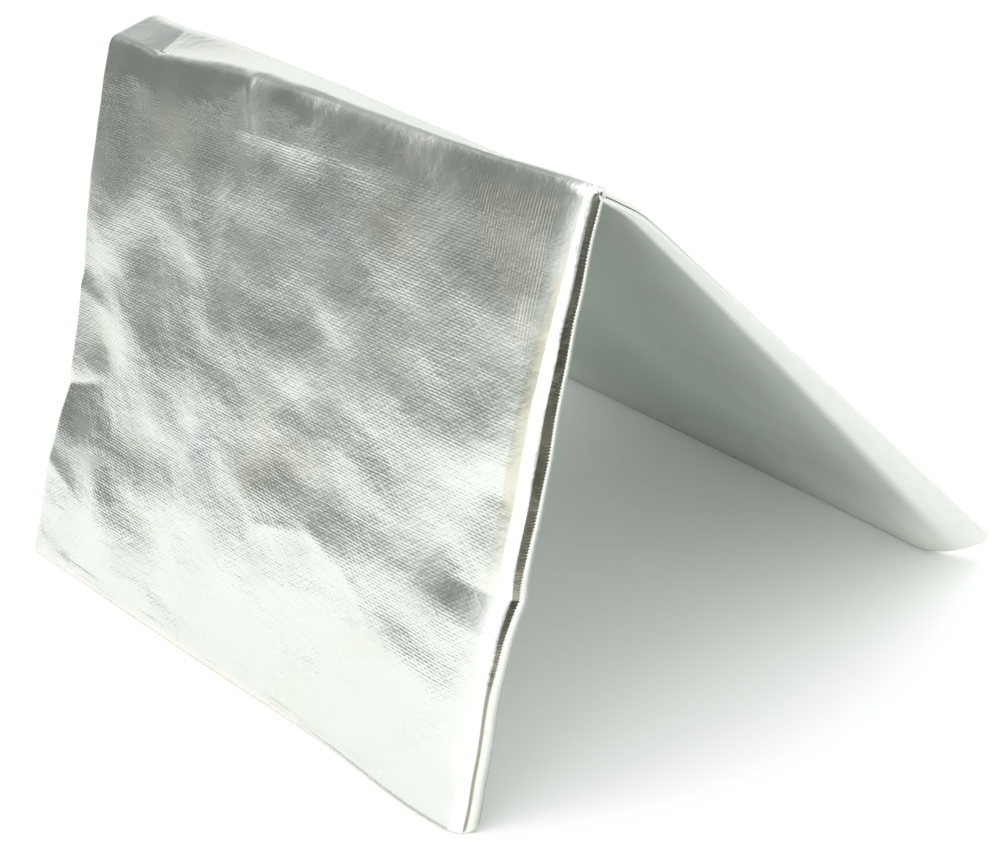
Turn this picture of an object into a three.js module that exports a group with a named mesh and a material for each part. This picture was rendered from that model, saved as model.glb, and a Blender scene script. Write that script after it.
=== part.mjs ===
import * as THREE from 'three';

// An adhesive heat barrier sheet: aluminium-faced woven glass cloth with a white release liner on its
// adhesive back. One flat rectangle is folded over two creases into an upside-down V and stands on
// its two long edges. Millimetres, +Z up, the ridge along Y with its near end at -Y, the front panel
// at -X and the back panel at +X. The origin is on the floor under the middle of the folded sheet.

// Flat sheet
const sheetWidth = 150;
const sheetLength = 299.85;
const clothThickness = 1.7;
const linerThickness = 0.3;

// The front panel from foot to first crease, and the strip between the two creases
const frontLeg = 123.1;
const stripWidth = 12.6;

// Stance: how far the front foot stands out from the first crease, and how the strip tips (degrees)
const footRun = 30.25;
const stripTip = -11.25;

// The sheet is cut and folded by hand, slightly askew: how much more each of these is at the far
// end than at the near end
const sheetLengthSkew = 2.3;
const frontLegSkew = -4.8;
const stripWidthSkew = 1.6;
const footRunSkew = 3.5;
const stripTipSkew = 51.5;

// How far the far end and the free corners run off square
const ridgeShiftFar = -1.2;
const farFootInset = 2.7;
const farHeelInset = 3.5;
const nearCreaseOverhang = 2.1;
const nearHeelOverhang = 3.6;

// Roundness of the creases, as run along the sheet on each side
const firstCreaseFrontRunNear = 9;
const firstCreaseFrontRunFar = 4;
const firstCreaseStripRun = 4;
const secondCreaseRun = 3;

// The near edge: the front panel rolls inwards, the back panel flares outwards towards its corner
const frontRollWidth = 7;
const frontRollDepthTop = 1;
const frontRollDepthFoot = 2;
const flareWidthTop = 8;
const flareWidthFoot = 16;
const flareHeightTop = 0;
const flareHeightFoot = 9.5;

// The far edge of the front panel is pulled inwards between its corners
const farPullWidth = 26;
const farPullDepth = 2.8;

// Broad swells of the panels, outwards if the height is positive.
// at: distance from the near edge along the ridge, and from the front foot along the sheet
const swells = [
  { at: [14, 0], reach: [14, 42], height: 2.2 },
  { at: [36, 34], reach: [26, 16], height: 1.5 },
  { at: [84, 20], reach: [28, 18], height: 1.2 },
  { at: [84, 124], reach: [18, 8], height: 1.8 },
  { at: [128, 125], reach: [8, 6], height: -2.2 },
  { at: [70, 225], reach: [42, 30], height: 1.4 },
  { at: [120, 270], reach: [24, 18], height: -1 },
];

// Patches where the cloth leans back (positive, in degrees) or forward out of its panel
const leans = [
  { at: [60, 118], reach: [80, 4], turn: 0, lean: 7 },
  { at: [80, 108], reach: [70, 8], turn: 0, lean: 2 },
  { at: [144, 104], reach: [9, 14], turn: 0, lean: 4 },
  { at: [122, 89], reach: [15, 8], turn: -15, lean: -6 },
  { at: [138, 52], reach: [6, 5], turn: -20, lean: 8 },
  { at: [133, 38], reach: [8, 7], turn: -20, lean: 8 },
  { at: [128, 26], reach: [8, 7], turn: -20, lean: 9 },
  { at: [114, 42], reach: [8, 9], turn: -30, lean: -3 },
  { at: [76, 80], reach: [12, 8], turn: 0, lean: 5 },
  { at: [35, 77], reach: [9, 6], turn: 10, lean: 5 },
  { at: [64, 48], reach: [11, 5], turn: -10, lean: 4 },
  { at: [10, 43], reach: [8, 4], turn: 12, lean: 9 },
];

// Sharper ridges pressed into the cloth, from one end to the other
const ridges = [
  { from: [150, 66], to: [137, 62], breadth: 3, height: 0.7 },
  { from: [150, 42], to: [136, 46], breadth: 4, height: -1.2 },
  { from: [150, 24], to: [138, 20], breadth: 3.5, height: 0.9 },
  { from: [0, 47], to: [16, 46], breadth: 3.5, height: -1.1 },
  { from: [96, 122], to: [90, 106], breadth: 3, height: 0.9 },
  { from: [133, 124], to: [136, 134], breadth: 3, height: -1 },
];

// Mesh spacing
const panelStep = 7.2;
const edgeStep = 2.6;
const edgeBand = 16;
const creaseStep = 2.2;
const creaseBand = 12;
const probe = 0.5;

const firstCrease = frontLeg;
const secondCrease = frontLeg + stripWidth;
const heel = sheetLength;
const meetingHeight = -clothThickness / 2;

function clamp01(value) {
  return Math.min(1, Math.max(0, value));
}

function mix(start, end, share) {
  return start + (end - start) * share;
}

function smooth(value) {
  const t = clamp01(value);
  return t * t * (3 - 2 * t);
}

// The four fold corners of one end of the sheet: front foot, first crease, second crease, back heel
function endCorners(length, leg, footRun, strip, tipDegrees, shift, along) {
  const rise = Math.sqrt(leg ** 2 - footRun ** 2);
  const tip = THREE.MathUtils.degToRad(tipDegrees);
  const foot = new THREE.Vector3(shift - footRun, along.foot, 0);
  const first = new THREE.Vector3(shift, along.first, rise);
  const second = new THREE.Vector3(
    first.x + strip * Math.cos(tip),
    along.second,
    first.z + strip * Math.sin(tip),
  );
  const backLeg = length - leg - strip;
  const heelRun = Math.sqrt(backLeg ** 2 - second.z ** 2 - (along.heel - along.second) ** 2);
  const last = new THREE.Vector3(second.x + heelRun, along.heel, 0);
  return [foot, first, second, last];
}

// The value of a skewed size at one end: -1 for the near end, 1 for the far end
function atEnd(mean, skew, end) {
  return mean + (skew * end) / 2;
}

const nearAlong = {
  foot: 0,
  first: 0,
  second: -nearCreaseOverhang,
  heel: -nearHeelOverhang,
};
const farAlong = {
  foot: sheetWidth - farFootInset,
  first: sheetWidth,
  second: sheetWidth,
  heel: sheetWidth - farHeelInset,
};
const nearCorners = endCorners(
  atEnd(sheetLength, sheetLengthSkew, -1),
  atEnd(frontLeg, frontLegSkew, -1),
  atEnd(footRun, footRunSkew, -1),
  atEnd(stripWidth, stripWidthSkew, -1),
  atEnd(stripTip, stripTipSkew, -1),
  0,
  nearAlong,
);
const farCorners = endCorners(
  atEnd(sheetLength, sheetLengthSkew, 1),
  atEnd(frontLeg, frontLegSkew, 1),
  atEnd(footRun, footRunSkew, 1),
  atEnd(stripWidth, stripWidthSkew, 1),
  atEnd(stripTip, stripTipSkew, 1),
  ridgeShiftFar,
  farAlong,
);

function quadratic(start, bend, end, t) {
  const a = (1 - t) ** 2;
  const b = 2 * t * (1 - t);
  const c = t ** 2;
  return new THREE.Vector3()
    .addScaledVector(start, a)
    .addScaledVector(bend, b)
    .addScaledVector(end, c);
}

// The folded sheet with round creases, before its dents. u runs along the ridge from the near edge,
// s along the sheet from the front foot
function foldedPoint(u, s) {
  const corners = nearCorners.map((corner, i) => corner.clone().lerp(farCorners[i], u / sheetWidth));
  const [foot, first, second, last] = corners;
  const frontPoint = (distance) => foot.clone().lerp(first, distance / firstCrease);
  const stripPoint = (distance) => first.clone().lerp(second, (distance - firstCrease) / stripWidth);
  const backPoint = (distance) => {
    return second.clone().lerp(last, (distance - secondCrease) / (heel - secondCrease));
  };
  const bendStart = firstCrease - mix(firstCreaseFrontRunNear, firstCreaseFrontRunFar, u / sheetWidth);
  const bendEnd = firstCrease + firstCreaseStripRun;
  const secondStart = secondCrease - secondCreaseRun;
  const secondEnd = secondCrease + secondCreaseRun;
  if (s < bendStart) return frontPoint(s);
  if (s < bendEnd) {
    const t = (s - bendStart) / (bendEnd - bendStart);
    return quadratic(frontPoint(bendStart), first, stripPoint(bendEnd), t);
  }
  if (s < secondStart) return stripPoint(s);
  if (s < secondEnd) {
    const t = (s - secondStart) / (secondEnd - secondStart);
    return quadratic(stripPoint(secondStart), second, backPoint(secondEnd), t);
  }
  return backPoint(s);
}

function swellHeight(swell, u, s) {
  const across = (u - swell.at[0]) / swell.reach[0];
  const up = (s - swell.at[1]) / swell.reach[1];
  return swell.height * Math.exp(-(across ** 2 + up ** 2) / 2);
}

function leanHeight(patch, u, s) {
  const turn = THREE.MathUtils.degToRad(patch.turn);
  const du = u - patch.at[0];
  const ds = s - patch.at[1];
  const across = (du * Math.cos(turn) + ds * Math.sin(turn)) / patch.reach[0];
  const up = (ds * Math.cos(turn) - du * Math.sin(turn)) / patch.reach[1];
  const slope = Math.tan(THREE.MathUtils.degToRad(patch.lean));
  return -slope * patch.reach[1] * Math.tanh(up) * Math.exp(-(across ** 2 + (up / 4) ** 2) / 2);
}

function ridgeHeight(ridge, u, s) {
  const run = [ridge.to[0] - ridge.from[0], ridge.to[1] - ridge.from[1]];
  const length = Math.hypot(run[0], run[1]);
  const offset = [u - ridge.from[0], s - ridge.from[1]];
  const along = (offset[0] * run[0] + offset[1] * run[1]) / length ** 2;
  const aside = (offset[0] * run[1] - offset[1] * run[0]) / length;
  const nearest = clamp01(along);
  const past = (along - nearest) * length;
  const fade = 1 - 0.7 * nearest;
  return ridge.height * fade * Math.exp(-Math.hypot(aside, past) / ridge.breadth);
}

// Dents and swells die away towards the feet, so both edges stay on the floor
function dentFade(s) {
  const fadeRun = 8;
  return smooth(s / fadeRun) * smooth((heel - s) / fadeRun);
}

function frontRoll(u, s) {
  const ease = smooth((firstCrease + stripWidth / 2 - s) / stripWidth);
  const depth = mix(frontRollDepthFoot, frontRollDepthTop, clamp01(s / firstCrease));
  return -depth * ease * clamp01(1 - u / frontRollWidth) ** 2;
}

function backFlare(u, s) {
  const down = clamp01((s - firstCrease) / (heel - firstCrease));
  const width = mix(flareWidthTop, flareWidthFoot, down);
  const height = mix(flareHeightTop, flareHeightFoot, down);
  const ease = smooth((s - firstCrease) / stripWidth);
  return height * ease * clamp01(1 - u / width) ** 2;
}

function farPull(u, s) {
  const between = Math.sin(Math.PI * clamp01(s / firstCrease));
  return -farPullDepth * between * Math.exp(-(((sheetWidth - u) / farPullWidth) ** 2));
}

function outwardShift(u, s) {
  let shift = farPull(u, s);
  for (const patch of leans) shift += leanHeight(patch, u, s);
  for (const ridge of ridges) shift += ridgeHeight(ridge, u, s);
  shift *= dentFade(s);
  for (const swell of swells) shift += swellHeight(swell, u, s);
  return shift + frontRoll(u, s) + backFlare(u, s);
}

// The outward normal of a surface given as a function of u and s
function normalOf(surface, u, s) {
  const alongRidge = surface(u + probe, s).sub(surface(u - probe, s));
  const alongSheet = surface(u, s + probe).sub(surface(u, s - probe));
  return alongSheet.cross(alongRidge).normalize();
}

function dentedPoint(u, s) {
  const shift = outwardShift(u, s);
  return foldedPoint(u, s).addScaledVector(normalOf(foldedPoint, u, s), shift);
}

// A point at a height over the middle of the cloth. The two long edges are cut level with the
// floor, apart from the lifted near corner of the back panel
function layerPoint(u, s, height) {
  const point = dentedPoint(u, s).addScaledVector(normalOf(dentedPoint, u, s), height);
  const lift = s > secondCrease ? Math.max(0, backFlare(u, s)) * Math.SQRT1_2 : 0;
  if (s === 0 || s === heel) point.z = lift;
  return point;
}

// Grid lines from 0 to a length, closer together near the given marks
function gridStops(length, marks, closeStep, band) {
  const raw = [0];
  while (raw[raw.length - 1] < length) {
    const here = raw[raw.length - 1];
    const distance = Math.min(...marks.map((mark) => Math.abs(mark - here)));
    raw.push(here + mix(closeStep, panelStep, smooth(distance / band)));
  }
  const scale = length / raw[raw.length - 1];
  return raw.map((stop) => stop * scale);
}

// One layer of the sheet: a closed shell between two heights over the middle of the cloth
function layerGeometry(lowHeight, highHeight) {
  const columns = gridStops(sheetWidth, [0, sheetWidth], edgeStep, edgeBand);
  const rows = gridStops(
    heel,
    [0, firstCrease - firstCreaseFrontRunFar / 2, secondCrease, heel],
    creaseStep,
    creaseBand,
  );
  rows[rows.length - 1] = heel;
  const positions = [];
  const indices = [];
  const stride = columns.length;
  const layerSize = columns.length * rows.length;
  for (const height of [lowHeight, highHeight]) {
    for (const s of rows) {
      for (const u of columns) positions.push(...layerPoint(u, s, height).toArray());
    }
  }
  const addQuad = (a, b, c, d) => indices.push(a, b, c, a, c, d);
  for (let row = 0; row < rows.length - 1; row += 1) {
    for (let column = 0; column < stride - 1; column += 1) {
      const a = row * stride + column;
      const top = a + layerSize;
      addQuad(a, a + 1, a + stride + 1, a + stride);
      addQuad(top, top + stride, top + stride + 1, top + 1);
    }
  }
  const rim = [];
  for (let column = 0; column < stride - 1; column += 1) rim.push(column);
  for (let row = 0; row < rows.length - 1; row += 1) rim.push(row * stride + stride - 1);
  for (let column = stride - 1; column > 0; column -= 1) rim.push((rows.length - 1) * stride + column);
  for (let row = rows.length - 1; row > 0; row -= 1) rim.push(row * stride);
  rim.forEach((start, i) => {
    const next = rim[(i + 1) % rim.length];
    addQuad(start, start + layerSize, next + layerSize, next);
  });
  const geometry = new THREE.BufferGeometry();
  geometry.setAttribute('position', new THREE.Float32BufferAttribute(positions, 3));
  geometry.setIndex(indices);
  geometry.computeVertexNormals();
  return geometry;
}

function makeSheet() {
  const material = new THREE.MeshStandardMaterial({ color: 0xd6dad4, roughness: 0.3, metalness: 1 });
  const mesh = new THREE.Mesh(layerGeometry(meetingHeight, clothThickness / 2), material);
  mesh.name = 'barrier_sheet';
  return mesh;
}

function makeLiner() {
  const material = new THREE.MeshStandardMaterial({ color: 0xf0f2ee, roughness: 0.6, metalness: 0 });
  const mesh = new THREE.Mesh(layerGeometry(meetingHeight - linerThickness, meetingHeight), material);
  mesh.name = 'release_liner';
  return mesh;
}

const foldedSheet = new THREE.Group();
foldedSheet.add(makeSheet(), makeLiner());
const bounds = new THREE.Box3().setFromObject(foldedSheet);
const middle = bounds.getCenter(new THREE.Vector3());
foldedSheet.position.set(-middle.x, -middle.y, -bounds.min.z);

const part = new THREE.Group();
part.add(foldedSheet);

export default part;
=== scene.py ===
"""Adhesive heat barrier sheet: aluminium-faced woven glass cloth with a white release liner on its back,
folded over two creases and standing on its two long edges.

Sizes are in millimetres and turned into metres when a mesh is made. A point of the sheet is given by u,
the distance along the ridge from the near edge, and s, the distance along the sheet from the front foot.
A height is measured outwards from the middle of the cloth."""

import math

import bmesh
import bpy
import numpy as np
from mathutils import Matrix, Vector


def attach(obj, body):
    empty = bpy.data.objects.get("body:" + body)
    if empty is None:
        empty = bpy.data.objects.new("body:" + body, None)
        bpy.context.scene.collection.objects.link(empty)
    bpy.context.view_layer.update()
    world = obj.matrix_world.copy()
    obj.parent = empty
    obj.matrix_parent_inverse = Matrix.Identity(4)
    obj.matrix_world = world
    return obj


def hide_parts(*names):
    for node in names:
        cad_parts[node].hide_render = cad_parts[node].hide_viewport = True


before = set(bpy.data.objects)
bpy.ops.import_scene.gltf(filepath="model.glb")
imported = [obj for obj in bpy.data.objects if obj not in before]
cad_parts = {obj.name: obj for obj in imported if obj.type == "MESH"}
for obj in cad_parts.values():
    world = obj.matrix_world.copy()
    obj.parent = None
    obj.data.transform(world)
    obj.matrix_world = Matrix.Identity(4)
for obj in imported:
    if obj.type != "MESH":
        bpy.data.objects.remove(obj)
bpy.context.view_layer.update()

MM = 0.001

# Flat sheet
WIDTH = 150.0
LENGTH_NEAR = 298.7
LENGTH_FAR = 301.0
CLOTH = 1.7
LINER = 0.3

# Folds, with a value at the near and the far end
LEG_NEAR = 125.5
LEG_FAR = 120.7
STRIP_NEAR = 11.8
STRIP_FAR = 13.4
FOOT_RUN_NEAR = 28.5
FOOT_RUN_FAR = 32.0
TIP_NEAR = -37.0
TIP_FAR = 14.5
RIDGE_SHIFT_FAR = -1.2
FAR_FOOT_INSET = 2.7
FAR_HEEL_INSET = 3.5
NEAR_CREASE_OVERHANG = 2.1
NEAR_HEEL_OVERHANG = 3.6
FRONT_RUN_NEAR = 5.0
FRONT_RUN_FAR = 3.0
STRIP_RUN = 2.0
SECOND_RUN = 3.0

# Near and far edges
ROLL_WIDTH = 6.5
ROLL_TOP = 1.5
ROLL_FOOT = 2.4
FLARE_WIDTH_TOP = 8.0
FLARE_WIDTH_FOOT = 16.0
FLARE_TOP = 0.0
FLARE_FOOT = 9.5
PULL_WIDTH = 26.0
PULL_DEPTH = 2.8

# From the near foot corner to the origin of the frame
ORIGIN = np.array([47.892, 72.845, 0.0])

FIRST = (LEG_NEAR + LEG_FAR) / 2
SECOND = FIRST + (STRIP_NEAR + STRIP_FAR) / 2
HEEL = (LENGTH_NEAR + LENGTH_FAR) / 2
TOP = CLOTH / 2
MEETING = -CLOTH / 2
INSIDE = MEETING - LINER

# Broad swells: (u, s), (reach along u, along s), height
SWELLS = [
    ((14, 0), (14, 42), 2.2),
    ((36, 34), (26, 16), 1.5),
    ((84, 20), (28, 18), 1.2),
    ((84, 124), (18, 8), 1.8),
    ((128, 125), (8, 6), -1.5),
    ((70, 225), (42, 30), 1.4),
    ((120, 270), (24, 18), -1.0),
]

# Patches that lean back (positive degrees) or forward: (u, s), (reach), turn of the patch, lean.
# A lean fades out over LEAN_FADE reaches up and down the sheet.
LEAN_FADE = 4
LEANS = [
    ((60, 118), (80, 4), 0, 7),
    ((80, 108), (70, 8), 0, 2),
    ((144, 104), (9, 14), 0, 5.5),
    ((122, 89), (15, 8), -15, -6),
    ((141, 74), (6, 4), -20, -5),
    ((146, 85), (6, 3.5), 0, 6),
    ((138, 52), (6, 5), -20, 8),
    ((133, 38), (8, 7), -20, 8),
    ((128, 26), (8, 7), -20, 9),
    ((114, 42), (8, 9), -30, -3),
    ((76, 80), (12, 8), 0, 5),
    ((35, 77), (9, 6), 10, 5),
    ((64, 48), (11, 5), -10, 4),
    ((10, 43), (8, 4), 12, 9),
]

# Smaller patches, which the solids leave out
SMALL_LEANS = [
    ((56, 76), (9, 4), 48, -5),
    ((48, 60), (14, 4), -10, -2),
    ((40, 92), (7, 3.5), 0, -5),
    ((52, 34), (10, 4), -8, -4),
    ((16, 66), (12, 7), 0, -3),
    ((112, 76), (4, 4), 0, 5),
    ((97, 76), (3, 8), 0, 3),
    ((88, 107), (4, 5), 0, 5),
    ((25, 105), (10, 6), 0, 2),
    ((9, 63), (3.5, 2.5), 0, 7),
    ((84, 37), (8, 4), 0, 3),
    ((114, 66), (9, 6), -20, 2),
    ((108, 51), (9, 4), -20, 2),
    ((26, 62), (12, 6), 0, -3),
    ((17, 29), (5, 5), 0, 3),
]

# Sharp ridges (positive) and grooves: start, end, breadth, height.
# Each loses RIDGE_LOSS of its height towards its end.
RIDGE_LOSS = 0.7
RIDGES = [
    ((150, 66), (137, 62), 3, 0.7),
    ((150, 42), (136, 46), 4, -1.2),
    ((150, 24), (138, 20), 3.5, 0.9),
    ((0, 47), (16, 46), 3.5, -1.1),
    ((96, 122), (90, 106), 3, 0.9),
    ((133, 124), (136, 134), 3, -1.0),
]

SMALL_RIDGES = [
    ((97, 113), (25, 114.5), 1.6, 0.2),
    ((72, 36), (55, 41), 1.5, 0.3),
    ((55, 41), (40, 35), 1.5, 0.3),
    ((40, 35), (33, 28), 1.5, 0.25),
    ((25, 113), (12, 100), 1.5, 0.2),
    ((12, 100), (9, 85), 1.5, 0.2),
    ((87, 110), (83, 103), 1.0, -0.2),
]

# Shallow grooves pressed along the front foot
FOOT_GROOVES = [
    ((138, 5), (98, 3.5), 0.9, -0.6),
    ((62, 3), (30, 3.5), 0.9, -0.5),
]


def mix(a, b, share):
    return a + (b - a) * share


def smooth(value):
    t = np.clip(value, 0, 1)
    return t * t * (3 - 2 * t)


def end_corners(length, leg, foot_run, strip, tip_degrees, shift, along):
    """Front foot, first crease, second crease and back heel of one end of the sheet."""
    tip = math.radians(tip_degrees)
    foot = np.array([shift - foot_run, along[0], 0])
    first = np.array([shift, along[1], math.sqrt(leg**2 - foot_run**2)])
    step = np.array([strip * math.cos(tip), 0, strip * math.sin(tip)])
    second = first + step
    second[1] = along[2]
    back_leg = length - leg - strip
    run = math.sqrt(back_leg**2 - second[2] ** 2 - (along[3] - along[2]) ** 2)
    last = np.array([second[0] + run, along[3], 0])
    return foot, first, second, last


NEAR = end_corners(
    LENGTH_NEAR,
    LEG_NEAR,
    FOOT_RUN_NEAR,
    STRIP_NEAR,
    TIP_NEAR,
    0,
    (0, 0, -NEAR_CREASE_OVERHANG, -NEAR_HEEL_OVERHANG),
)
FAR = end_corners(
    LENGTH_FAR,
    LEG_FAR,
    FOOT_RUN_FAR,
    STRIP_FAR,
    TIP_FAR,
    RIDGE_SHIFT_FAR,
    (WIDTH - FAR_FOOT_INSET, WIDTH, WIDTH, WIDTH - FAR_HEEL_INSET),
)


def folded(u, s):
    """Points of the folded sheet before its dents."""
    share = (u / WIDTH)[:, None]
    foot, first, second, last = (mix(a, b, share) for a, b in zip(NEAR, FAR))

    def front(distance):
        return mix(foot, first, (distance / FIRST)[:, None])

    def strip(distance):
        return mix(first, second, ((distance - FIRST) / (SECOND - FIRST))[:, None])

    def back(distance):
        return mix(second, last, ((distance - SECOND) / (HEEL - SECOND))[:, None])

    def bend(start, middle, end, t):
        t = t[:, None]
        return (1 - t) ** 2 * start + 2 * t * (1 - t) * middle + t**2 * end

    bend_start = FIRST - mix(FRONT_RUN_NEAR, FRONT_RUN_FAR, u / WIDTH)
    bend_end = np.full_like(u, FIRST + STRIP_RUN)
    second_start = np.full_like(u, SECOND - SECOND_RUN)
    second_end = np.full_like(u, SECOND + SECOND_RUN)
    first_t = np.clip((s - bend_start) / (bend_end - bend_start), 0, 1)
    second_t = np.clip((s - second_start) / (second_end - second_start), 0, 1)
    first_bend = bend(front(bend_start), first, strip(bend_end), first_t)
    second_bend = bend(strip(second_start), second, back(second_end), second_t)
    stretches = [front(s), first_bend, strip(s), second_bend]
    limits = [s < bend_start, s < bend_end, s < second_start, s < second_end]
    return np.select([limit[:, None] for limit in limits], stretches, back(s))


def swell_height(swell, u, s):
    (u0, s0), (along, up), height = swell
    return height * np.exp(-(((u - u0) / along) ** 2 + ((s - s0) / up) ** 2) / 2)


def lean_height(patch, u, s):
    (u0, s0), (reach_u, reach_s), turn_degrees, lean = patch
    turn = math.radians(turn_degrees)
    across = ((u - u0) * math.cos(turn) + (s - s0) * math.sin(turn)) / reach_u
    up = ((s - s0) * math.cos(turn) - (u - u0) * math.sin(turn)) / reach_s
    slope = math.tan(math.radians(lean))
    return -slope * reach_s * np.tanh(up) * np.exp(-(across**2 + (up / LEAN_FADE) ** 2) / 2)


def ridge_height(ridge, u, s):
    (u0, s0), (u1, s1), breadth, height = ridge
    run_u, run_s = u1 - u0, s1 - s0
    length = math.hypot(run_u, run_s)
    along = ((u - u0) * run_u + (s - s0) * run_s) / length**2
    aside = ((u - u0) * run_s - (s - s0) * run_u) / length
    nearest = np.clip(along, 0, 1)
    past = (along - nearest) * length
    return height * (1 - RIDGE_LOSS * nearest) * np.exp(-np.hypot(aside, past) / breadth)


def dent_fade(s):
    """Dents fade out beside the foot and the heel."""
    fade_run = 8
    return smooth(s / fade_run) * smooth((HEEL - s) / fade_run)


def front_roll(u, s):
    """The near edge of the front panel rolls inwards."""
    ease = smooth((FIRST + (SECOND - FIRST) / 2 - s) / (SECOND - FIRST))
    depth = mix(ROLL_FOOT, ROLL_TOP, np.clip(s / FIRST, 0, 1))
    return -depth * ease * np.clip(1 - u / ROLL_WIDTH, 0, 1) ** 2


def back_flare(u, s):
    """The near edge of the back panel flares outwards, most at the heel."""
    down = np.clip((s - FIRST) / (HEEL - FIRST), 0, 1)
    width = mix(FLARE_WIDTH_TOP, FLARE_WIDTH_FOOT, down)
    height = mix(FLARE_TOP, FLARE_FOOT, down)
    ease = smooth((s - FIRST) / (SECOND - FIRST))
    return height * ease * np.clip(1 - u / width, 0, 1) ** 2


def far_pull(u, s):
    """The far edge of the front panel is pulled in at the middle."""
    between = np.sin(math.pi * np.clip(s / FIRST, 0, 1))
    return -PULL_DEPTH * between * np.exp(-(((WIDTH - u) / PULL_WIDTH) ** 2))


# Faint unevenness of hand-folded cloth: waves in many directions
random = np.random.default_rng(7)
WAVE_COUNT = 22
WAVE_LENGTHS = random.uniform(9, 34, WAVE_COUNT)
WAVE_TURNS = random.uniform(0, math.pi, WAVE_COUNT)
WAVE_STARTS = random.uniform(0, 2 * math.pi, WAVE_COUNT)
WAVE_SLOPE = 0.014

# The strip and the back panel are calmer: share of the waves taken away, place and reach of the change
CALM_SHARE = 0.85
CALM_START = SECOND - 4
CALM_REACH = 11


def unevenness(u, s):
    total = np.zeros_like(u)
    for length, turn, start in zip(WAVE_LENGTHS, WAVE_TURNS, WAVE_STARTS):
        phase = 2 * math.pi * (u * math.cos(turn) + s * math.sin(turn)) / length + start
        total += WAVE_SLOPE * length / (2 * math.pi) * np.sin(phase)
    calm = 1 - CALM_SHARE * np.exp(-((np.clip(CALM_START - s, 0, None) / CALM_REACH) ** 2))
    return total * calm


def outward_shift(u, s):
    """How far every dent, wave, roll and flare moves a point outwards."""
    shift = far_pull(u, s) + unevenness(u, s)
    for patch in LEANS + SMALL_LEANS:
        shift += lean_height(patch, u, s)
    for ridge in RIDGES + SMALL_RIDGES:
        shift += ridge_height(ridge, u, s)
    shift *= dent_fade(s)
    for swell in SWELLS:
        shift += swell_height(swell, u, s)
    for groove in FOOT_GROOVES:
        shift += ridge_height(groove, u, s)
    return shift + front_roll(u, s) + back_flare(u, s)


def normal_of(surface, u, s, probe=0.3):
    along_ridge = surface(u + probe, s) - surface(u - probe, s)
    along_sheet = surface(u, s + probe) - surface(u, s - probe)
    normal = np.cross(along_sheet, along_ridge)
    return normal / np.linalg.norm(normal, axis=1)[:, None]


def dented(u, s):
    return folded(u, s) + normal_of(folded, u, s) * outward_shift(u, s)[:, None]


# Share of the flare that lifts the heel off the floor, and how far up the sheet it is trimmed level
LIFT_SHARE = math.sqrt(0.5)
HEEL_TRIM = 3


def layer_points(u, s, height):
    """Points at a height over the middle of the cloth, cut level with the floor at both feet."""
    points = dented(u, s) + normal_of(dented, u, s) * height[:, None]
    lift = np.where(s > SECOND, back_flare(u, s), 0) * LIFT_SHARE
    at_foot = (s <= 0) | (s >= HEEL)
    points[:, 2] = np.where(at_foot, lift, np.maximum(points[:, 2], lift * (s > HEEL - HEEL_TRIM)))
    return (points - ORIGIN) * MM


# The cut corners are a little round: radius at the near foot, near heel, far foot and far heel
CORNER_RADII = {"near_foot": 1.6, "near_heel": 4.5, "far_foot": 1.5, "far_heel": 2.0}
CORNER_BLEND = 12.0


def corner_inset(radius, distance):
    """How far the cut runs in from the side at a distance from the foot or heel."""
    rise = np.clip(radius - distance, 0, radius)
    return radius - np.sqrt(radius**2 - rise**2)


def round_corners(u, s):
    """Moves u inwards near the four corners, so that the outline turns on arcs."""
    near = corner_inset(CORNER_RADII["near_foot"], s) + corner_inset(CORNER_RADII["near_heel"], HEEL - s)
    far = corner_inset(CORNER_RADII["far_foot"], s) + corner_inset(CORNER_RADII["far_heel"], HEEL - s)
    near_share = np.clip(1 - u / CORNER_BLEND, 0, 1)
    far_share = np.clip(1 - (WIDTH - u) / CORNER_BLEND, 0, 1)
    return u + near * near_share - far * far_share


# Grid lines of the fine outer face
STEP_U = 0.86
STEP_S = 0.86
FINE_ROWS = 5

# The near cut edge: the foil bends down at a line, then wraps over the cut and ends in a serrated line.
# The wrap is full along the upper edge, and the core shows more towards the foot.
# (distance from the edge, height)
BEND_LINE = 4.4
BEND_BREADTH = 0.2
WRAP_UPPER = [
    (4.2, 0.81), (3.6, 0.67), (2.8, 0.48), (2.05, 0.3),
    (1.9, 0.22), (1.2, -0.12), (0.75, -0.34), (0.4, -0.5),
]
WRAP_FOOT = [
    (4.2, 0.82), (3.6, 0.74), (2.9, 0.64), (2.3, 0.55),
    (2.15, 0.5), (1.9, 0.4), (1.7, 0.3), (1.5, 0.2),
]
CORE_UPPER = [(0.2, -0.66), (0.04, MEETING)]
CORE_FOOT = [(0.8, -0.25), (0.04, MEETING)]
WRAP_CHANGE = (20, 75)

# Thread spacing along the sheet and along the ridge
THREAD_S = 0.6
THREAD_U = 0.77

# The serration: height of a tooth, its share at each line of the wrap and core, direction (place, height)
TOOTH = 0.17
TOOTH_SHARE = [0, 0, 0, 0, 0, 0, 0.2, 1.0, 0.2, 0]
TOOTH_ALONG = (-0.9, -0.9)

# The bent foil gets narrower from the front panel to the first crease
TAPER_RUN = (78, 120)
TAPER_SHARE = 0.55
TAPER_REACH = 12.0


def taper_edge(u, s):
    """Moves the lines of the bent near edge outwards towards the first crease."""
    narrow = mix(1.0, TAPER_SHARE, smooth((s - TAPER_RUN[0]) / (TAPER_RUN[1] - TAPER_RUN[0])))
    share = np.clip((u - BEND_LINE) / (TAPER_REACH - BEND_LINE), 0, 1)
    return u * mix(narrow, 1.0, share)


# The far cut edge: (distance from the edge, height)
FAR_ROUNDING = [(1.2, 0.85), (0.7, 0.72), (0.3, 0.4), (0.08, -0.05), (0.0, -0.4)]

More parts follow.
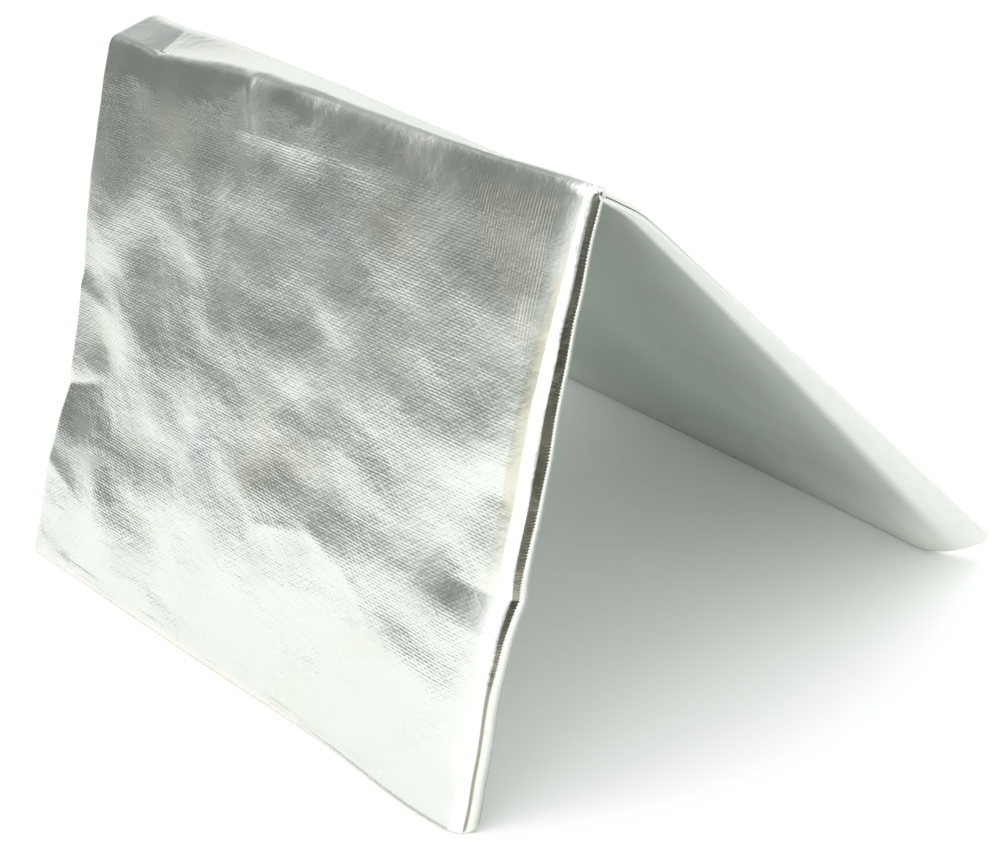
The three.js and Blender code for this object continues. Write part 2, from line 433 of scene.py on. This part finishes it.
# The bevelled cut along the front foot, where the bare core shows: share of the band, height
FOOT_BEVEL = [(0.0, -0.1), (0.2, 0.25), (0.6, 0.62), (0.97, 0.8), (1.0, 0.85)]
HEEL_BEVEL = [(1.0, 0.85), (0.97, 0.8), (0.5, 0.5), (0.0, 0.1)]
HEEL_BAND = 0.7

# Width of the bare core along the front foot: near and far, and where along the ridge it changes
CORE_BAND = (0.45, 2.0)
CORE_BAND_START = 20
CORE_BAND_RUN = 60


def core_band(u):
    """Width of the bare core along the front foot."""
    return mix(CORE_BAND[0], CORE_BAND[1], smooth((u - CORE_BAND_START) / CORE_BAND_RUN))


def even_stops(start, end, step):
    count = max(1, round((end - start) / step))
    return list(np.linspace(start, end, count + 1))


class MeshBuilder:
    """Collects points as (u, s, height), and faces with a material number each."""

    def __init__(self):
        self.points = []
        self.faces = []
        self.slots = []

    def grid(self, u, s, height):
        """Adds a table of points and returns their numbers in the same table."""
        first = sum(len(block) for block in self.points)
        u, s, height = np.broadcast_arrays(u, s, height)
        self.points.append(np.stack([u.ravel(), s.ravel(), height.ravel()], axis=1).astype(float))
        return first + np.arange(u.size).reshape(u.shape)

    def quads(self, numbers, slot):
        a, b = numbers[:-1, :-1].ravel(), numbers[:-1, 1:].ravel()
        c, d = numbers[1:, 1:].ravel(), numbers[1:, :-1].ravel()
        self.faces.extend(np.stack([a, b, c, d], axis=1).tolist())
        self.slots.extend([slot] * a.size)

    def stitch(self, one, other, slot, one_stops=None, other_stops=None):
        """Joins two lines of points by triangles, whatever their counts."""
        one_stops = np.linspace(0, 1, len(one)) if one_stops is None else np.asarray(one_stops)
        other_stops = np.linspace(0, 1, len(other)) if other_stops is None else np.asarray(other_stops)
        i, j = 0, 0
        while i < len(one) - 1 or j < len(other) - 1:
            next_one = one_stops[i + 1] if i < len(one) - 1 else math.inf
            next_other = other_stops[j + 1] if j < len(other) - 1 else math.inf
            if next_one <= next_other:
                face = [int(one[i]), int(one[i + 1]), int(other[j])]
                i += 1
            else:
                face = [int(one[i]), int(other[j + 1]), int(other[j])]
                j += 1
            if len(set(face)) == 3:
                self.faces.append(face)
                self.slots.append(slot)

    def build(self, name, materials):
        table = np.concatenate(self.points)
        u = round_corners(taper_edge(table[:, 0], table[:, 1]), table[:, 1])
        positions = layer_points(u, table[:, 1], table[:, 2])
        mesh = bpy.data.meshes.new(name)
        mesh.from_pydata(positions.tolist(), [], self.faces)
        mesh.polygons.foreach_set("material_index", self.slots)
        mesh.polygons.foreach_set("use_smooth", [True] * len(self.faces))
        for material in materials:
            mesh.materials.append(material)
        layer = mesh.uv_layers.new(name="cloth")
        corner_points = np.zeros(len(mesh.loops), int)
        mesh.loops.foreach_get("vertex_index", corner_points)
        flat = np.stack([u, table[:, 1]], axis=1) * MM
        layer.data.foreach_set("uv", flat[corner_points].ravel())
        turned_out = bmesh.new()
        turned_out.from_mesh(mesh)
        bmesh.ops.recalc_face_normals(turned_out, faces=turned_out.faces)
        if turned_out.calc_volume(signed=True) < 0:
            bmesh.ops.reverse_faces(turned_out, faces=turned_out.faces)
        turned_out.to_mesh(mesh)
        turned_out.free()
        piece = bpy.data.objects.new(name, mesh)
        bpy.context.scene.collection.objects.link(piece)
        return piece


def row_stops(u, base_stops):
    """The s of each row at a place along the ridge: rows up to follow ease out of the band of bare core."""
    band = core_band(u)
    follow = 9.0
    reference = core_band(WIDTH)
    stops = np.asarray(base_stops)[:, None]
    moved = band + (stops - reference) * (follow - band) / (follow - reference)
    regular = np.where(stops < follow, moved, stops)
    foot = np.array([share for share, _ in FOOT_BEVEL])[:, None] * band
    heel = HEEL - np.array([share for share, _ in HEEL_BEVEL])[:, None] * HEEL_BAND * np.ones_like(u)
    return np.concatenate([foot, regular[1:-1], heel])


def rows_of_heights(count):
    """The greatest height of the outer face in each row, lower in the bevels."""
    heights = np.full(count, TOP)
    heights[: len(FOOT_BEVEL)] = [height for _, height in FOOT_BEVEL]
    heights[-len(HEEL_BEVEL) :] = [height for _, height in HEEL_BEVEL]
    return heights


FOIL, CORE = 0, 1


def make_sheet(materials):
    """The aluminised cloth: fine outer face, wrapped near edge, cut faces and plain inner face."""
    base_stops = even_stops(core_band(WIDTH), HEEL - HEEL_BAND, STEP_S)
    far_columns = [WIDTH - distance for distance, _ in FAR_ROUNDING]
    regular = even_stops(BEND_LINE + BEND_BREADTH, far_columns[0] - STEP_U, STEP_U)
    columns = np.array([BEND_LINE] + regular + far_columns)
    rows = row_stops(columns, base_stops)
    row_heights = rows_of_heights(len(rows))
    column_heights = np.full(len(columns), TOP)
    column_heights[-len(FAR_ROUNDING) :] = [height for _, height in FAR_ROUNDING]
    heights = np.minimum(row_heights[:, None], column_heights[None, :])

    builder = MeshBuilder()
    outer = builder.grid(columns[None, :], rows, heights)
    bare_rows = len(FOOT_BEVEL) - 1
    builder.quads(outer[: bare_rows + 1], CORE)
    builder.quads(outer[bare_rows:], FOIL)

    coarse = np.arange(len(rows))
    fine = np.linspace(0, len(rows) - 1, (len(rows) - 1) * FINE_ROWS + 1)
    near_rows = row_stops(np.array([1.0]), base_stops)[:, 0]
    fine_s = np.interp(fine, coarse, near_rows)
    fine_heights = np.interp(fine, coarse, row_heights)
    upper_share = smooth((fine_s - WRAP_CHANGE[0]) / (WRAP_CHANGE[1] - WRAP_CHANGE[0]))
    foot_profile = np.array(WRAP_FOOT + CORE_FOOT)
    upper_profile = np.array(WRAP_UPPER + CORE_UPPER)
    profile = mix(foot_profile, upper_profile, upper_share[:, None, None])
    thread = 2 * np.abs(2 * (fine_s / THREAD_S % 1) - 1) - 1
    wobble = 0.5 + 0.5 * np.sin(fine_s / 3.7) * np.sin(fine_s / 1.3 + 1)
    teeth = TOOTH * (thread * (0.6 + 0.6 * wobble))[:, None] * np.array(TOOTH_SHARE)
    edge_places = profile[:, :, 0] + TOOTH_ALONG[0] * teeth
    edge_heights = np.minimum(profile[:, :, 1] + TOOTH_ALONG[1] * teeth, fine_heights[:, None])
    near = builder.grid(edge_places, fine_s[:, None], np.maximum(edge_heights, MEETING))
    wrap_count = len(WRAP_UPPER)
    bare_fine = bare_rows * FINE_ROWS
    builder.stitch(outer[:, 0], near[:, 0], FOIL)
    builder.quads(near[: bare_fine + 1, :wrap_count], CORE)
    builder.quads(near[bare_fine:, :wrap_count], FOIL)
    builder.quads(near[:, wrap_count - 1 :], CORE)

    inner_step = 5.0
    inner_columns = np.array(even_stops(0.6, WIDTH - 0.05, inner_step))
    inner_pick = np.unique(np.concatenate([coarse[::2], coarse[-1:]]))
    inner_rows = row_stops(inner_columns, base_stops)[inner_pick]
    inner = builder.grid(inner_columns[None, :], inner_rows, MEETING)
    builder.quads(inner, CORE)
    builder.stitch(near[:, -1], inner[:, 0], CORE)
    builder.stitch(outer[:, -1], inner[:, -1], CORE)
    for end in (0, -1):
        upper = list(near[end, ::-1]) + list(outer[end])
        lower = [near[end, -1]] + list(inner[end])
        upper_u = list(profile[end, ::-1, 0]) + list(columns)
        lower_u = [profile[end, -1, 0]] + list(inner_columns)
        builder.stitch(upper, lower, CORE, upper_u, lower_u)
    return builder.build("aluminised_cloth_sheet", materials)


def make_liner(materials):
    """The release liner under the cloth: a fine inner face, with a plain face against the cloth."""
    step = 1.3
    rounding = 0.08
    heel_lip = 0.35
    columns = np.array([0.0, 0.1, 0.35] + even_stops(1.0, WIDTH - 0.6, step) + [WIDTH - 0.15, WIDTH])
    rows = np.array([0.0, 0.4] + even_stops(1.0, HEEL - 1.0, step) + [HEEL - 0.4, HEEL])[:, None]
    heights = np.full((len(rows), len(columns)), INSIDE)
    heights[:, [0, -1]] += rounding
    heights[-1] -= heel_lip
    builder = MeshBuilder()
    visible = builder.grid(columns[None, :], rows, heights)
    column_pick = np.unique(np.concatenate([np.arange(0, len(columns), 4), [len(columns) - 1]]))
    hidden = builder.grid(columns[column_pick][None, :], rows, MEETING)
    builder.quads(visible, 0)
    builder.quads(hidden, 0)
    for side in (0, -1):
        builder.stitch(visible[:, side], hidden[:, side], 0)
        builder.stitch(visible[side], hidden[side], 0, columns, columns[column_pick])
    return builder.build("release_liner_film", materials)


class Nodes:
    """Short calls for building a node tree."""

    def __init__(self, tree):
        self.tree = tree
        tree.nodes.clear()

    def node(self, kind, inputs=None, **settings):
        made = self.tree.nodes.new(kind)
        for name, value in settings.items():
            setattr(made, name, value)
        for name, value in (inputs or {}).items():
            self.feed(made.inputs[name], value)
        return made

    def feed(self, socket, value):
        if isinstance(value, bpy.types.NodeSocket):
            self.tree.links.new(value, socket)
        elif value is not None:
            socket.default_value = value

    def math(self, operation, a, b=None, c=None):
        return self.node("ShaderNodeMath", {0: a, 1: b, 2: c}, operation=operation).outputs[0]

    def ramp(self, value, low, high, at_low=0.0, at_high=1.0):
        """Eases from one value to another between two limits."""
        inputs = {"Value": value, "From Min": low, "From Max": high, "To Min": at_low, "To Max": at_high}
        return self.node("ShaderNodeMapRange", inputs, interpolation_type="SMOOTHSTEP").outputs[0]

    def product(self, *factors):
        total = factors[0]
        for factor in factors[1:]:
            total = self.math("MULTIPLY", total, factor)
        return total

    def weighted(self, *pairs):
        """The sum of values, each times its weight."""
        total = 0.0
        for value, weight in pairs:
            total = self.math("MULTIPLY_ADD", value, weight, total)
        return total

    def rise(self, value, start, full):
        """From 0 to 1 between two places in millimetres."""
        return self.ramp(value, start * MM, full * MM)

    def fall(self, value, start, gone):
        """From 1 to 0 between two places in millimetres."""
        return self.ramp(value, start * MM, gone * MM, 1.0, 0.0)

    def band(self, value, start, full, fade, gone):
        """1 between two places in millimetres, and 0 outside them."""
        return self.product(self.rise(value, start, full), self.fall(value, fade, gone))

    def bump(self, height, distance, under=None):
        inputs = {"Height": height, "Distance": distance * MM, "Normal": under}
        return self.node("ShaderNodeBump", inputs).outputs[0]

    def blend(self, share, one, other):
        made = self.node("ShaderNodeMix", data_type="RGBA")
        self.feed(made.inputs["Factor"], share)
        self.feed(made.inputs["A"], one)
        self.feed(made.inputs["B"], other)
        return made.outputs["Result"]

    def noise(self, vector, scale, detail=2.0, roughness=0.5):
        inputs = {"Vector": vector, "Scale": scale, "Detail": detail, "Roughness": roughness}
        return self.node("ShaderNodeTexNoise", inputs).outputs["Fac"]

    def scaled(self, vector, scale):
        made = self.node("ShaderNodeVectorMath", {0: vector, 1: scale}, operation="MULTIPLY")
        return made.outputs[0]

    def separate(self, vector):
        return self.node("ShaderNodeSeparateXYZ", {0: vector}).outputs

    def distance(self, vector, point):
        made = self.node("ShaderNodeVectorMath", {0: vector, 1: point}, operation="DISTANCE")
        return made.outputs["Value"]


def new_material(name):
    material = bpy.data.materials.new(name)
    material.use_nodes = True
    return material, Nodes(material.node_tree)


def finish_material(nodes, inputs, settings):
    """Adds the shader: inputs are linked, and settings are plain values on its own sockets."""
    shader = nodes.node("ShaderNodeBsdfPrincipled")
    for name, value in {**settings, **inputs}.items():
        nodes.feed(shader.inputs[name], value)
    nodes.node("ShaderNodeOutputMaterial", {"Surface": shader.outputs[0]})


def cloth_coordinates(nodes):
    """The flat place on the sheet, in metres: (u, s, 0), u and s."""
    flat = nodes.node("ShaderNodeUVMap", uv_map="cloth").outputs["UV"]
    parts = nodes.separate(flat)
    return flat, parts[0], parts[1]


ALUMINIUM = (0.86, 0.88, 0.855, 1)
COOL_ALUMINIUM = (0.81, 0.86, 0.88, 1)
WARM_ALUMINIUM = (0.86, 0.83, 0.73, 1)
# Warm tint of the film, darker than the foil as painted shade
WARM_BAND = (0.79, 0.77, 0.66, 1)
# Painted highlight: near-white colour for the facet of the bent foil
PAINTED_HIGHLIGHT_FACET = (0.97, 0.98, 0.97, 1)
# Painted shade: dark brownish colour for the foil wrapped over the near cut edge
PAINTED_SHADE_WALL = (0.42, 0.39, 0.32, 1)
# Painted shadow: near-black colour for the serrated end of the foil
PAINTED_SHADOW_SEAM = (0.12, 0.11, 0.09, 1)


def thread_angles(nodes, flat, u, s):
    """The angle of each thread direction, half a turn a thread, with a slow drift in its spacing."""
    drift = nodes.math("MULTIPLY", nodes.math("SUBTRACT", nodes.noise(flat, 90, 2), 0.5), 2.2)
    warp = nodes.math("MULTIPLY_ADD", u, math.pi / (THREAD_U * MM), drift)
    weft = nodes.math("MULTIPLY_ADD", s, math.pi / (THREAD_S * MM), drift)
    return warp, weft


def ribbed_corner(nodes, u, s):
    """The corner under the first crease where ribs along the sheet show through the foil."""
    reach = nodes.ramp(s, 84 * MM, 116 * MM, 8 * MM, 32 * MM)
    within = nodes.fall(nodes.math("SUBTRACT", u, reach), -8, 0)
    return nodes.product(within, nodes.rise(u, 7, 7.6), nodes.band(s, 58, 75, 117, 120))


def foil_relief(nodes, flat, u, s, warp, weft, rib_zone):
    """The weave pressed through the foil, flatter beside the edge and the crease, and fine crumples."""
    crossings = nodes.product(nodes.math("COSINE", warp), nodes.math("COSINE", weft))
    weft_rib = nodes.math("COSINE", nodes.math("MULTIPLY", weft, 2))
    ribs = nodes.math("COSINE", nodes.math("MULTIPLY", warp, 2))
    streaks = nodes.noise(nodes.scaled(flat, (90, 1.7 / (THREAD_S * MM), 1)), 1.0, 1)
    grain = nodes.noise(flat, 900, 3, 0.6)
    weave = nodes.weighted((crossings, 0.6), (weft_rib, 0.45), (streaks, 2.4), (grain, 0.9))
    press = nodes.ramp(nodes.noise(flat, 45, 2), 0.25, 0.75, 0.8, 1.1)
    edge_press = nodes.ramp(u, 5 * MM, 10 * MM, 0.15, 1.0)
    crease_press = nodes.ramp(s, 112 * MM, 118 * MM, 1.0, 0.25)
    rib_press = nodes.math("MULTIPLY_ADD", rib_zone, -0.6, 1.0)
    weave = nodes.product(weave, press, edge_press, crease_press, rib_press)
    weave = nodes.math("MULTIPLY_ADD", nodes.product(ribs, rib_zone), 1.1, weave)
    crumple = nodes.noise(flat, 260, 4, 0.55)
    return nodes.bump(crumple, 0.18, nodes.bump(weave, 0.0135))


def foil_colour(nodes, flat, u, s, weft, rib_zone):
    """Aluminium with cool and warm drifts, and the parts of the bent near edge: a warm band partly darkened
    as painted shade, a facet with a painted highlight, and a wall and serrated seam with painted shade and
    shadow.
    """
    cool = nodes.ramp(nodes.noise(nodes.scaled(flat, (1, 1.3, 1)), 24, 2), 0.55, 0.75, 0.0, 0.5)
    warm_drift = nodes.ramp(nodes.noise(flat, 30, 3), 0.52, 0.7)
    warm = nodes.math("MULTIPLY", nodes.math("MAXIMUM", warm_drift, rib_zone), 0.45)
    taper = nodes.ramp(s, TAPER_RUN[0] * MM, TAPER_RUN[1] * MM, 1.0, TAPER_SHARE)
    edge_u = nodes.math("DIVIDE", u, taper)
    # A warm band 4.4 to 7.6 mm from the near edge: warm tint of the film, and darker as painted shade
    warm_band = nodes.product(nodes.band(edge_u, 4.4, 4.6, 7, 7.6), nodes.band(s, 45, 70, 100, 114))
    # Painted highlight: a near-white facet on the bent foil, 2 to 4.4 mm in from the near edge
    painted_highlight_facet = nodes.band(edge_u, 2, 2.1, 4.3, 4.4)
    # Painted shade: the foil within 2 mm of the near edge, up to the first crease, is made dark
    painted_shade_wall = nodes.product(nodes.fall(edge_u, 1.95, 2.05), nodes.fall(s, 119, 122))
    # Painted shadow: a serrated dark line where the foil ends on the near edge, from the first crease to
    # partway down the back panel
    tooth = nodes.math("COSINE", nodes.math("MULTIPLY", weft, 2))
    serration = nodes.math("MULTIPLY_ADD", tooth, 0.12 * MM, edge_u)
    painted_shadow_seam = nodes.product(nodes.band(serration, 0.3, 0.4, 0.9, 1.1), nodes.band(s, 120, 122, 190, 225))
    colour = nodes.blend(cool, ALUMINIUM, COOL_ALUMINIUM)
    colour = nodes.blend(warm, colour, WARM_ALUMINIUM)
    colour = nodes.blend(warm_band, colour, WARM_BAND)
    colour = nodes.blend(painted_highlight_facet, colour, PAINTED_HIGHLIGHT_FACET)
    colour = nodes.blend(painted_shade_wall, colour, PAINTED_SHADE_WALL)
    return nodes.blend(painted_shadow_seam, colour, PAINTED_SHADOW_SEAM)


def foil_material():
    material, nodes = new_material("aluminium_foil_on_glass_cloth")
    flat, u, s = cloth_coordinates(nodes)
    warp, weft = thread_angles(nodes, flat, u, s)
    rib_zone = ribbed_corner(nodes, u, s)
    inputs = {
        "Base Color": foil_colour(nodes, flat, u, s, weft, rib_zone),
        "Roughness": nodes.ramp(nodes.noise(flat, 60, 3), 0.3, 0.7, 0.2, 0.3),
        "Normal": foil_relief(nodes, flat, u, s, warp, weft, rib_zone),
    }
    finish_material(nodes, inputs, {"Metallic": 1.0})
    return material


def core_material():
    material, nodes = new_material("cut_glass_cloth_edge")
    _, u, _ = cloth_coordinates(nodes)
    place = nodes.node("ShaderNodeTexCoord").outputs["Object"]
    fibres = nodes.noise(nodes.scaled(place, (1, 1, 3)), 1500, 3)
    soft = nodes.noise(place, 120, 2)
    colour = nodes.blend(nodes.ramp(fibres, 0.3, 0.7), (0.78, 0.74, 0.70, 1), (0.90, 0.88, 0.85, 1))
    colour = nodes.blend(nodes.ramp(soft, 0.45, 0.7, 0, 0.5), colour, (0.86, 0.80, 0.76, 1))
    # Painted light: the cut core is made whiter within 3 to 6 mm of the near edge
    colour = nodes.blend(nodes.fall(u, 3, 6), colour, (0.93, 0.96, 0.92, 1))
    inputs = {
        "Base Color": colour,
        "Roughness": nodes.ramp(fibres, 0, 1, 0.7, 0.9),
        "Normal": nodes.bump(fibres, 0.06),
    }
    finish_material(nodes, inputs, {"Specular IOR Level": 0.3})
    return material


def liner_material():
    material, nodes = new_material("satin_liner_film")
    flat, u, s = cloth_coordinates(nodes)
    mottle = nodes.noise(flat, 35, 3)
    tone = nodes.ramp(mottle, 0.35, 0.65)
    # Painted shade: the white liner is given grey colours, darkest near the near edge and lighter from 15
    # to 65 mm in
    painted_shade_near_edge = nodes.blend(tone, (0.48, 0.52, 0.48, 1), (0.50, 0.54, 0.50, 1))
    inside = nodes.blend(tone, (0.62, 0.67, 0.62, 1), (0.65, 0.70, 0.65, 1))
    colour = nodes.blend(nodes.rise(u, 15, 65), painted_shade_near_edge, inside)
    # Painted light: the liner lightens towards the heel, from 260 mm on
    colour = nodes.blend(nodes.rise(s, 260, 299), colour, (0.84, 0.88, 0.83, 1))
    # Painted light: a near-white band along the flared near edge of the back panel, from the first crease
    # to the heel, widening from 4.2 to 7.5 mm
    painted_light_reach = nodes.ramp(s, 136 * MM, 299 * MM, 4.2 * MM, 7.5 * MM)
    painted_light_band = nodes.ramp(nodes.math("DIVIDE", u, painted_light_reach), 0.6, 1.1, 1.0, 0.0)
    painted_light_band = nodes.product(painted_light_band, nodes.rise(s, 118, 124))
    colour = nodes.blend(painted_light_band, colour, (0.98, 1.0, 0.97, 1))
    waves = nodes.noise(nodes.scaled(flat, (1, 2.5, 1)), 40, 3, 0.55)
    relief = nodes.math("MULTIPLY_ADD", nodes.noise(flat, 700, 2), 0.02, waves)
    inputs = {
        "Base Color": colour,
        "Roughness": nodes.ramp(mottle, 0.3, 0.7, 0.4, 0.55),
        "Normal": nodes.bump(relief, 0.5),
    }
    finish_material(nodes, inputs, {"Specular IOR Level": 0.5})
    return material


# Darker places of the studio: azimuth from +X and elevation, half angles of the dark and of its soft rim
SKY_PATCHES = [
    (118, 8, 14, 50, 0.2),
    (255, -2, 22, 44, 0.06),
    (74, 46, 12, 26, 0.4),
]

# The same on the floor, seen only by glossy rays: centre, radius of the dark and of its soft rim,
# brightness. The last one is a painted shadow under the fold.
FLOOR_PATCHES = [
    ((-640, 930), 200, 980, 0.05),
    ((-180, -620), 330, 480, 0.08),
    ((25, -10), 60, 104, 0.7),
]


def direction_of(azimuth, elevation):
    a, e = math.radians(azimuth), math.radians(elevation)
    return (math.cos(a) * math.cos(e), math.sin(a) * math.cos(e), math.sin(e))


def make_world():
    world = bpy.data.worlds.new("soft_studio")
    world.use_nodes = True
    bpy.context.scene.world = world
    nodes = Nodes(world.node_tree)
    direction = nodes.node("ShaderNodeTexCoord").outputs["Generated"]
    masks = []
    for azimuth, elevation, inner, outer, value in SKY_PATCHES:
        centre = direction_of(azimuth, elevation)
        made = nodes.node("ShaderNodeVectorMath", {0: direction, 1: centre}, operation="DOT_PRODUCT")
        near, far = math.cos(math.radians(inner)), math.cos(math.radians(outer))
        masks.append(nodes.ramp(made.outputs["Value"], far, near, 1.0, value))
    level = nodes.product(*masks)
    camera_ray = nodes.node("ShaderNodeLightPath").outputs["Is Camera Ray"]
    tinted = nodes.blend(level, (0, 0.02, 0, 1), (0.98, 1.0, 0.97, 1))
    colour = nodes.blend(camera_ray, tinted, (1, 1, 1, 1))
    background = nodes.node("ShaderNodeBackground", {"Color": colour, "Strength": 1.0})
    nodes.node("ShaderNodeOutputWorld", {"Surface": background.outputs[0]})


def make_floor():
    half = 4.0
    mesh = bpy.data.meshes.new("floor")
    corners = [(-half, -half, 0), (half, -half, 0), (half, half, 0), (-half, half, 0)]
    mesh.from_pydata(corners, [], [(0, 1, 2, 3)])
    floor = bpy.data.objects.new("floor", mesh)
    bpy.context.scene.collection.objects.link(floor)
    material, nodes = new_material("pale_floor")
    place = nodes.node("ShaderNodeTexCoord").outputs["Object"]
    masks = []
    for (x, y), inner, outer, value in FLOOR_PATCHES:
        away = nodes.distance(place, (x * MM, y * MM, 0))
        masks.append(nodes.ramp(away, inner * MM, outer * MM, value, 1.0))
    level = nodes.product(*masks)
    pale = (0.93, 0.94, 0.93, 1)
    reflected = nodes.blend(level, (0, 0.02, 0, 1), pale)
    path = nodes.node("ShaderNodeLightPath").outputs
    camera_ray = path["Is Camera Ray"]
    unseen = nodes.blend(path["Is Glossy Ray"], pale, reflected)
    colour = nodes.blend(camera_ray, unseen, (0.98, 0.98, 0.98, 1))
    diffuse = nodes.node("ShaderNodeBsdfDiffuse", {"Color": colour})
    lift = nodes.math("MULTIPLY", camera_ray, 0.055)
    glow = nodes.node("ShaderNodeEmission", {"Strength": lift})
    both = nodes.node("ShaderNodeAddShader", {0: diffuse.outputs[0], 1: glow.outputs[0]})
    nodes.node("ShaderNodeOutputMaterial", {"Surface": both.outputs[0]})
    mesh.materials.append(material)


# Softboxes: place and aim in metres, diameter, power
SOFTBOXES = [
    ((0.1, 0.05, 0.9), (0.1, 0.05, 0), 0.9, 2.0),
    ((-0.8, 0.25, 0.8), (-0.25, 0.05, 0), 0.6, 2.2),
    ((-0.77, -0.24, 0.12), (0.05, -0.06, 0.04), 0.3, 1.2),
]


def make_lamps():
    for place, aim, diameter, power in SOFTBOXES:
        light = bpy.data.lights.new("softbox", "AREA")
        light.shape = "DISK"
        light.size = diameter
        light.energy = power
        lamp = bpy.data.objects.new("softbox", light)
        lamp.location = place
        lamp.rotation_euler = (Vector(aim) - Vector(place)).to_track_quat("-Z", "Y").to_euler()
        bpy.context.scene.collection.objects.link(lamp)


# The photograph's camera, in millimetres and degrees
CAMERA_PLACE = (-280.96, -303.28, 240.42)
CAMERA_YAW = 42.506
CAMERA_PITCH = 26.645
CAMERA_ROLL = 0.335
FOCAL_PIXELS = 2050
IMAGE_WIDTH = 1000


def make_camera():
    yaw, pitch, roll = (math.radians(x) for x in (CAMERA_YAW, CAMERA_PITCH, CAMERA_ROLL))
    level = Vector((math.sin(yaw), math.cos(yaw), 0))
    forward = level * math.cos(pitch) - Vector((0, 0, math.sin(pitch)))
    right = Vector((math.cos(yaw), -math.sin(yaw), 0))
    up = right.cross(forward)
    turned_right = math.cos(roll) * right + math.sin(roll) * up
    turned_up = math.cos(roll) * up - math.sin(roll) * right
    data = bpy.data.cameras.new("camera")
    data.sensor_width = 36
    data.lens = data.sensor_width * FOCAL_PIXELS / IMAGE_WIDTH
    data.clip_start = 0.01
    camera = bpy.data.objects.new("camera", data)
    turn = Matrix((turned_right, turned_up, -forward)).transposed()
    camera.matrix_world = Matrix.Translation(Vector(CAMERA_PLACE) * MM) @ turn.to_4x4()
    bpy.context.scene.collection.objects.link(camera)
    bpy.context.scene.camera = camera


sheet = make_sheet([foil_material(), core_material()])
liner = make_liner([liner_material()])
for piece, node, slot in (
    (sheet, "barrier_sheet", "aluminised_cloth"),
    (liner, "release_liner", "liner"),
):
    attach(piece, "root")
    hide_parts(node)

make_world()
make_floor()
make_lamps()
make_camera()
bpy.context.scene.view_settings.view_transform = "Standard"
